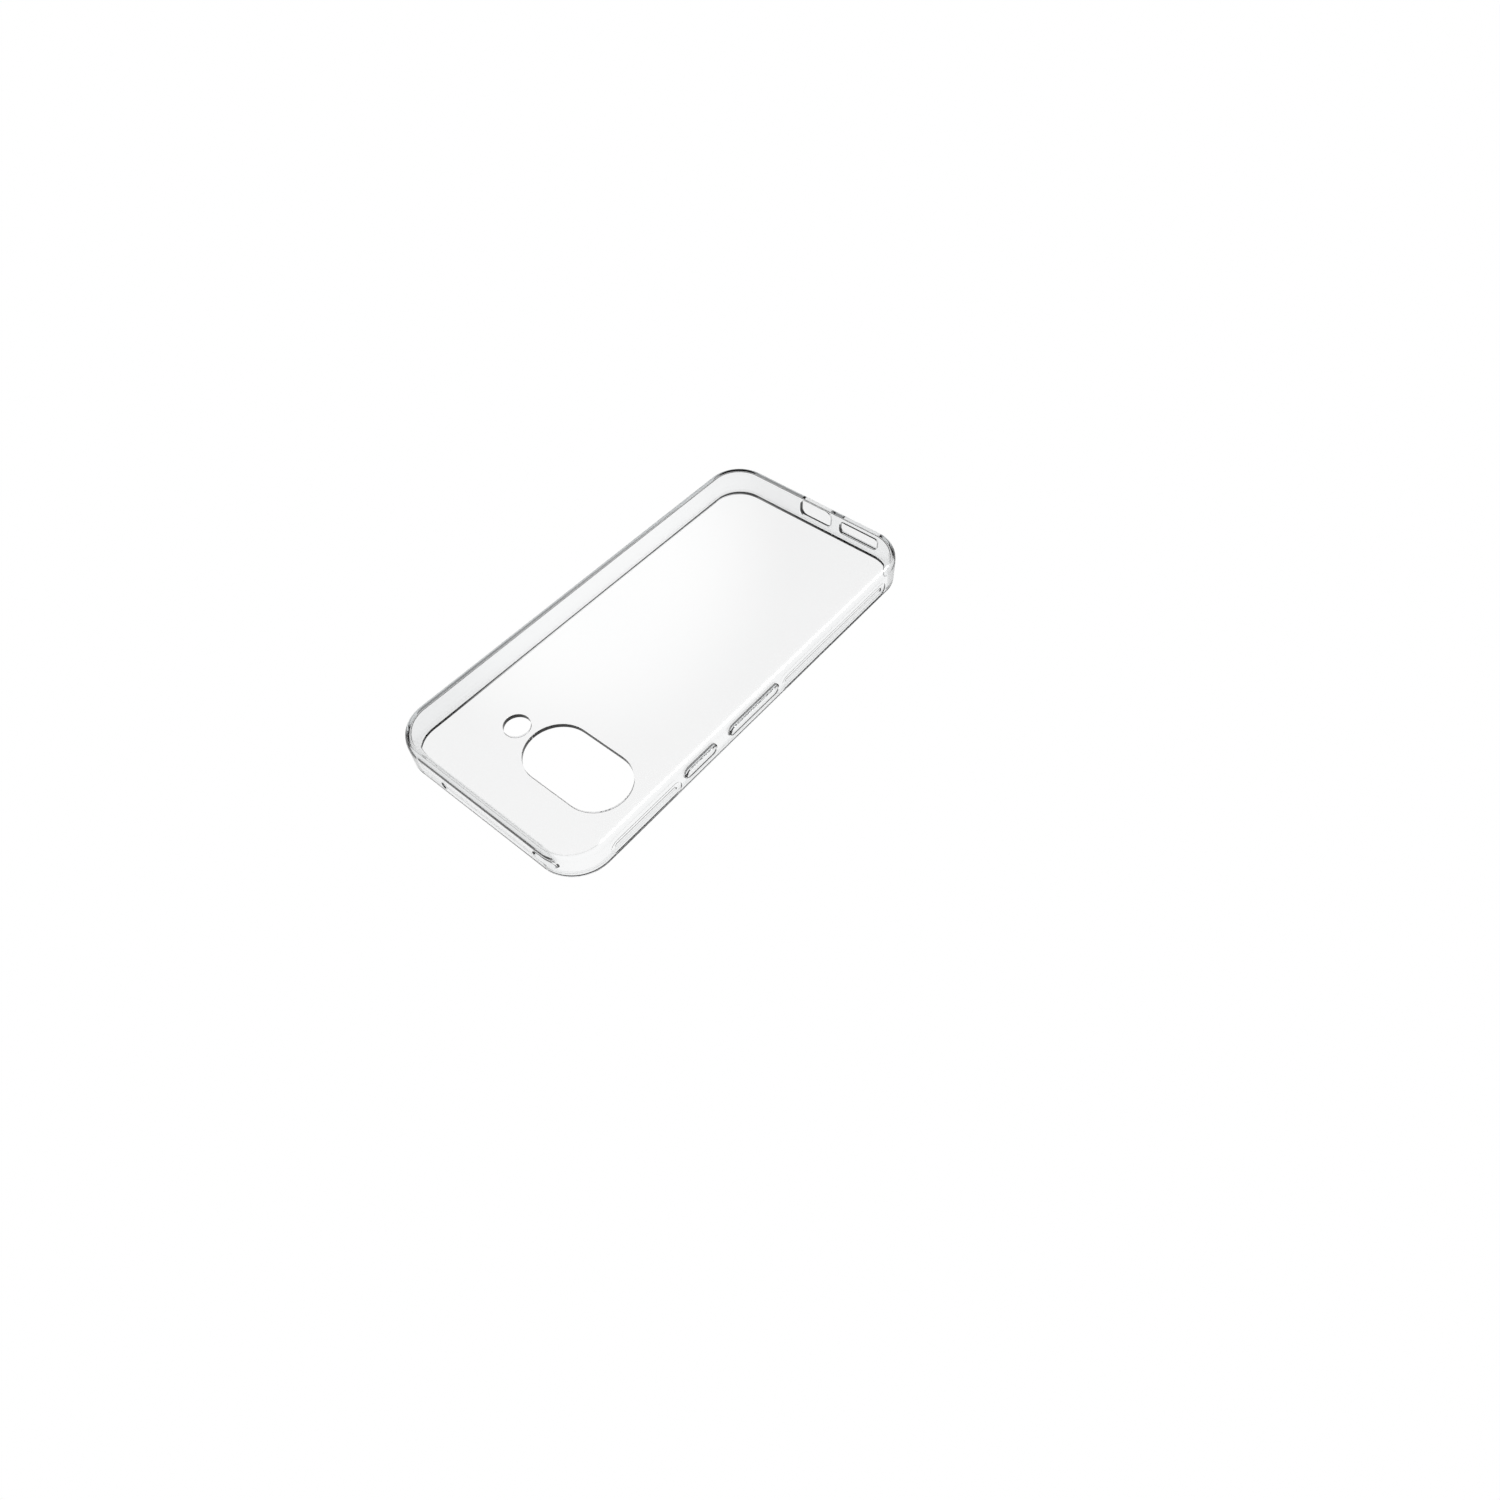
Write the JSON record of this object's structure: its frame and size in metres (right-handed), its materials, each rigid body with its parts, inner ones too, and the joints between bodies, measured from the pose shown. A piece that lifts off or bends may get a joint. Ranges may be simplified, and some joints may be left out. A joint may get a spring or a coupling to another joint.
{
  "type": "phone case",
  "caption": "Clear shell for a 155 mm phone: soft side frame with a screen lip, clear back panel with camera and flash openings, and flexing side button pads.",
  "frame": {"origin": "centre of the box's lowest face: the case lies with its screen side down on z = 0", "axes": "+Y along the long side towards the camera end, +X towards the side wall without buttons, +Z out of the back panel"},
  "size_m": [0.0768, 0.1578, 0.0116],
  "materials": {
    "soft_clear": "clear soft thermoplastic, glossy",
    "hard_clear": "clear plastic sheet, polished",
    "button_clear": "clear soft thermoplastic, glossy"
  },
  "bodies": {
    "case": {"bumper_frame": "soft_clear", "back_panel": "hard_clear"},
    "power_key": {"power_button": "button_clear"},
    "volume_key": {"volume_button": "button_clear"}
  },
  "joints": [
    {"name": "power_press", "type": "slide", "parent": "case", "child": "power_key", "axis": [1, 0, 0], "range_m": [0, 0.0004], "stiffness_N_per_m": 2000},
    {"name": "volume_press", "type": "slide", "parent": "case", "child": "volume_key", "axis": [1, 0, 0], "range_m": [0, 0.0004], "stiffness_N_per_m": 2500}
  ]
}
